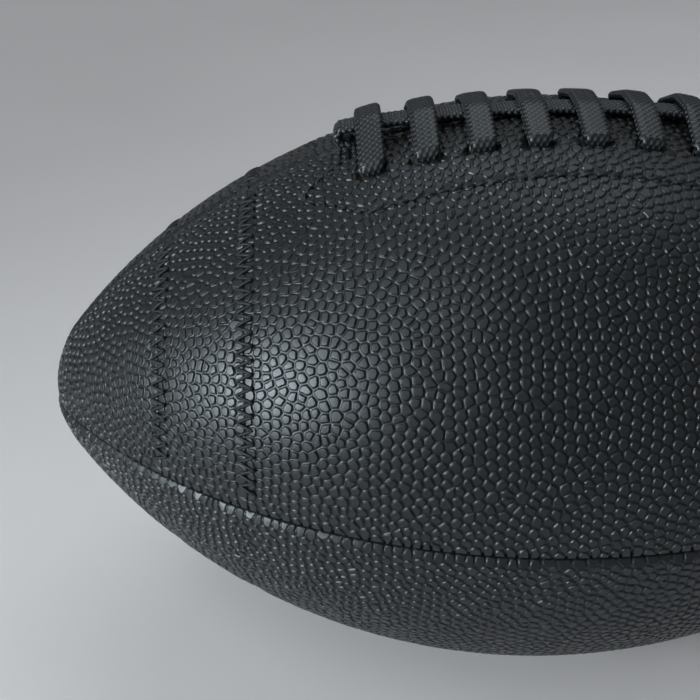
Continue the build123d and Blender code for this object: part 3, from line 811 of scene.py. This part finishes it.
def make_lace():
    """Braided lace whose colour follows its yarns' relief: painted shade darkens their flanks and the
    grooves between them, and a painted highlight lightens their crowns.
    """
    material, tree, surface = shader("lace_braid", (0.03, 0.034, 0.038), 0.4, Specular_Tint=SATIN_TINT)
    # Painted shade and painted highlight: darkest in the grooves, dark on the flanks, light grey on the
    # crowns.
    groove, side, crown = (0.0015, 0.0017, 0.002), (0.012, 0.0138, 0.0154), (0.085, 0.096, 0.105)
    depth = [(0.25, groove), (0.7, side), (1.0, crown)]
    yarn = ramp(tree, point_value(tree, "relief"), depth)
    cloud = ramp(tree, noise(tree, 160.0, 3.0), [(0.3, (0.78, 0.78, 0.8)), (0.7, (1.0, 1.0, 1.0))])
    tree.links.new(color_mix(tree, "MULTIPLY", yarn, cloud), surface.inputs["Base Color"])
    tree.links.new(spread(tree, noise(tree, 900.0, 3.0), 0.28, 0.42), surface.inputs["Roughness"])
    bump(tree, surface, noise(tree, 5200.0, 2.0), 0.2, 0.0001)
    return material


def make_plain(name, color, dark, scale, roughness, grain, **sockets):
    """A surface with a clouded colour, uneven gloss and a fine grain."""
    material, tree, surface = shader(name, color, roughness, **sockets)
    cloud = ramp(tree, noise(tree, scale, 4.0), [(0.3, dark), (0.7, color)])
    tree.links.new(cloud, surface.inputs["Base Color"])
    gloss = spread(tree, noise(tree, scale * 6, 3.0), roughness - 0.08, roughness + 0.08)
    tree.links.new(gloss, surface.inputs["Roughness"])
    bump(tree, surface, noise(tree, scale * grain, 3.0), 0.3, 0.0002)
    return material


def make_cloth(name, light, dark, pitch):
    """Woven cloth: threads that cross, in the object's own metres."""
    material, tree, surface = shader(name, light, 0.85, Sheen_Weight=0.2)
    place_node = tree.nodes.new("ShaderNodeTexCoord")
    heights = []
    for direction in ("X", "Y"):
        wave = tree.nodes.new("ShaderNodeTexWave")
        wave.bands_direction = direction
        wave.inputs["Scale"].default_value = 1 / pitch
        wave.inputs["Distortion"].default_value = 0.6
        tree.links.new(place_node.outputs["Object"], wave.inputs["Vector"])
        heights.append(wave.outputs["Fac"])
    cross = tree.nodes.new("ShaderNodeMath")
    cross.operation = "MAXIMUM"
    for socket, height in zip(cross.inputs, heights):
        tree.links.new(height, socket)
    weave = ramp(tree, cross.outputs["Value"], [(0.2, dark), (0.8, light)])
    tree.links.new(weave, surface.inputs["Base Color"])
    bump(tree, surface, cross.outputs["Value"], 0.4, 0.0003)
    return material


LEATHER = make_leather()
LACE = make_lace()
THREAD_DYE = ((0.006, 0.0072, 0.0082), (0.0035, 0.0042, 0.0048))
VALVE_DYE = ((0.03, 0.03, 0.032), (0.018, 0.018, 0.019))
BLADDER_DYE = ((0.1, 0.1, 0.1), (0.07, 0.07, 0.072))
FLOOR_DYE = ((0.82, 0.82, 0.83), (0.78, 0.78, 0.79))
THREAD_BLACK = make_plain(
    "thread", *THREAD_DYE, scale=700.0, roughness=0.62, grain=6.0, Specular_Tint=SATIN_TINT
)
VALVE = make_plain("valve_rubber", *VALVE_DYE, scale=90.0, roughness=0.6, grain=20.0)
BLADDER = make_plain("bladder_rubber", *BLADDER_DYE, scale=40.0, roughness=0.5, grain=30.0)
LINING = make_cloth("lining_cotton", (0.6, 0.56, 0.48), (0.42, 0.39, 0.33), pitch=0.0009)
FACING = make_cloth("facing_canvas", (0.15, 0.105, 0.06), (0.08, 0.056, 0.034), pitch=0.0008)
FLOOR_PAINT = make_plain("floor_paint", *FLOOR_DYE, scale=3.0, roughness=0.7, grain=40.0)

# Leather pieces. A rim folds down into its seam, and the grain fades and slopes away beside the fold.
FRONT, REAR, TOP, BOTTOM = (-1, 0), (1, 0), (0, 1), (0, -1)
EVEN_RIM = {"fold": 1.1, "width": 2.0, "slope": 0.22, "grain": 0.4, "proud": 0.0}
TUCKED_RIM = {"fold": 0.8, "width": 1.3, "slope": 0.1, "grain": 0.6, "proud": -0.1}
PROUD_RIM = {"fold": 0.7, "width": 2.3, "slope": 0.42, "grain": 0.14, "proud": 0.4}
inner, outer = arc_at(STRIPE_INNER), arc_at(STRIPE_OUTER)
spans = {
    "nose_left": (-TIP_ARC, -outer),
    "stripe_left": (-outer, -inner),
    "middle": (-inner, inner),
    "stripe_right": (inner, outer),
    "nose_right": (outer, TIP_ARC),
}
for side_name, side in (("front", FRONT), ("rear", REAR)):
    for span_name, (low, high) in spans.items():
        node = f"panel_upper_{side_name}_{span_name}"
        laced = span_name == "middle"
        valve = laced and side_name == "rear"
        rims = (EVEN_RIM, TUCKED_RIM)
        piece = leather_piece(f"leather_{node}", low, high, (TOP, side), rims, laced, valve)
        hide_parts(node)
    node = f"panel_lower_{side_name}"
    rims = (PROUD_RIM, EVEN_RIM)
    piece = leather_piece(f"leather_{node}", -TIP_ARC, TIP_ARC, (side, BOTTOM), rims)
    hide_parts(node)

# Laces
bars = [lace(LACE_WIDTH, *bar_route(number), MOUTH_WIDTH) for number in range(BAR_COUNT)]
piece = joined("lace_bars", bars, LACE)
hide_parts("lace_crossing")
piece = joined("lace_along_seam", [lace(STRIP_WIDTH, *length_route())], LACE)
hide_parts("lace_lengthwise")

# Zigzag stitches over the stripe joints
for side_name, side in (("front", FRONT), ("rear", REAR)):
    for end_name, end in (("left", -1), ("right", 1)):
        ends = []
        for joint in (inner, outer):
            radius = float(meridian(np.array(joint))[1])
            count = int((radius * QUARTER - 2 * ZIGZAG_MARGIN) / ZIGZAG_STEP)
            first = QUARTER / 2 - count * ZIGZAG_STEP / radius / 2
            for number in range(count):
                reach = NEEDLE_REACH if number % 2 else -NEEDLE_REACH
                turns = [first + (number + step) * ZIGZAG_STEP / radius for step in (0, 1)]
                start, outward = on_leather(end * (joint + reach), turns[0], (TOP, side), 0.0)
                finish, _ = on_leather(end * (joint - reach), turns[1], (TOP, side), 0.0)
                ends.append((start, finish, outward))
        piece = stitches(f"zigzag_thread_{side_name}_{end_name}", ends, 0.0, THREAD_BLACK)
        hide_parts(f"zigzag_{side_name}_{end_name}")

# Stitches of the facings beside the laces
for side_name, side in (("front", FRONT), ("rear", REAR)):
    line = stay_line(STAY_STITCH_STEP / STAY_PARTS)
    ends = []
    for first in range(STAY_PARTS, len(line) - STAY_PARTS, STAY_PARTS):
        points = []
        for x, out in (line[first], line[first + STAY_PARTS - 1]):
            radius = float(meridian(np.array(arc_at(x)))[1])
            points.append(on_leather(arc_at(x), math.asin(out / radius), (TOP, side), STAY_SINK))
        ends.append((points[0][0], points[1][0], points[0][1]))
    piece = stitches(f"facing_thread_{side_name}", ends, STAY_RISE, THREAD_BLACK)
    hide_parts(f"stay_stitches_{side_name}")

# Finish of the solids that stay, by how their names start
finishes = {
    "lining": LINING,
    "stay_front": FACING,
    "stay_rear": FACING,
    "tongue": FACING,
    "seam_thread": THREAD_BLACK,
    "valve": VALVE,
    "bladder": BLADDER,
}
for node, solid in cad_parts.items():
    for start, finish in finishes.items():
        if node.startswith(start):
            solid.data.materials.clear()
            solid.data.materials.append(finish)

# Floor
floor_mesh = bpy.data.meshes.new("floor")
corners = []
for x, y in ((-1, -1), (1, -1), (1, 1), (-1, 1)):
    corners.append((x * FLOOR_REACH * MM, y * FLOOR_REACH * MM, -(RADIUS + FLOOR_DROP) * MM))
floor_mesh.from_pydata(corners, [], [(0, 1, 2, 3)])
floor = bpy.data.objects.new("floor", floor_mesh)
bpy.context.collection.objects.link(floor)
floor_mesh.materials.append(FLOOR_PAINT)

# Light
world = bpy.data.worlds.new("studio")
bpy.context.scene.world = world
world.use_nodes = True
background = world.node_tree.nodes["Background"]
background.inputs["Color"].default_value = WORLD_COLOR
background.inputs["Strength"].default_value = WORLD_STRENGTH


def softbox(name, position, target, size, power, spread_angle):
    """A soft lamp aimed at a target, both in metres, which spreads its light over an angle in degrees."""
    lamp = bpy.data.lights.new(name, "AREA")
    lamp.shape = "RECTANGLE"
    lamp.size, lamp.size_y = size
    lamp.energy = power
    lamp.color = LAMP_TINT
    lamp.spread = math.radians(spread_angle)
    holder = bpy.data.objects.new(name, lamp)
    holder.location = position
    holder.rotation_euler = (Vector(target) - Vector(position)).to_track_quat("-Z", "Y").to_euler()
    bpy.context.collection.objects.link(holder)


softbox("key", (-0.86, -0.52, 0.27), (-0.05, -0.02, 0.0), size=(0.44, 0.55), power=0.98, spread_angle=40)
softbox("top", (0.18, 0.62, 1.6), (0.0, 0.0, 0.05), size=(1.6, 0.9), power=6.0, spread_angle=180)
softbox("fill", (-0.77, -0.6, 1.4), (0.0, 0.0, 0.0), size=(1.2, 0.9), power=4.6, spread_angle=180)

# Camera
camera = bpy.data.cameras.new("photo")
camera.sensor_width = 36.0
camera.lens = CAMERA_LENS
viewer = bpy.data.objects.new("photo", camera)
bpy.context.collection.objects.link(viewer)
azimuth, elevation, roll = (math.radians(angle) for angle in CAMERA_ANGLES)
level_back = Vector((math.sin(azimuth), -math.cos(azimuth), 0))
back = level_back * math.cos(elevation) + Vector((0, 0, math.sin(elevation)))
level_right = Vector((math.cos(azimuth), math.sin(azimuth), 0))
level_up = back.cross(level_right)
right = math.cos(roll) * level_right + math.sin(roll) * level_up
up = math.cos(roll) * level_up - math.sin(roll) * level_right
facing = Matrix((right, up, back)).transposed().to_4x4()
viewer.matrix_world = Matrix.Translation(Vector(CAMERA_EYE) * MM) @ facing
camera.clip_start = 0.01
bpy.context.scene.camera = viewer
bpy.context.scene.view_settings.view_transform = "Standard"
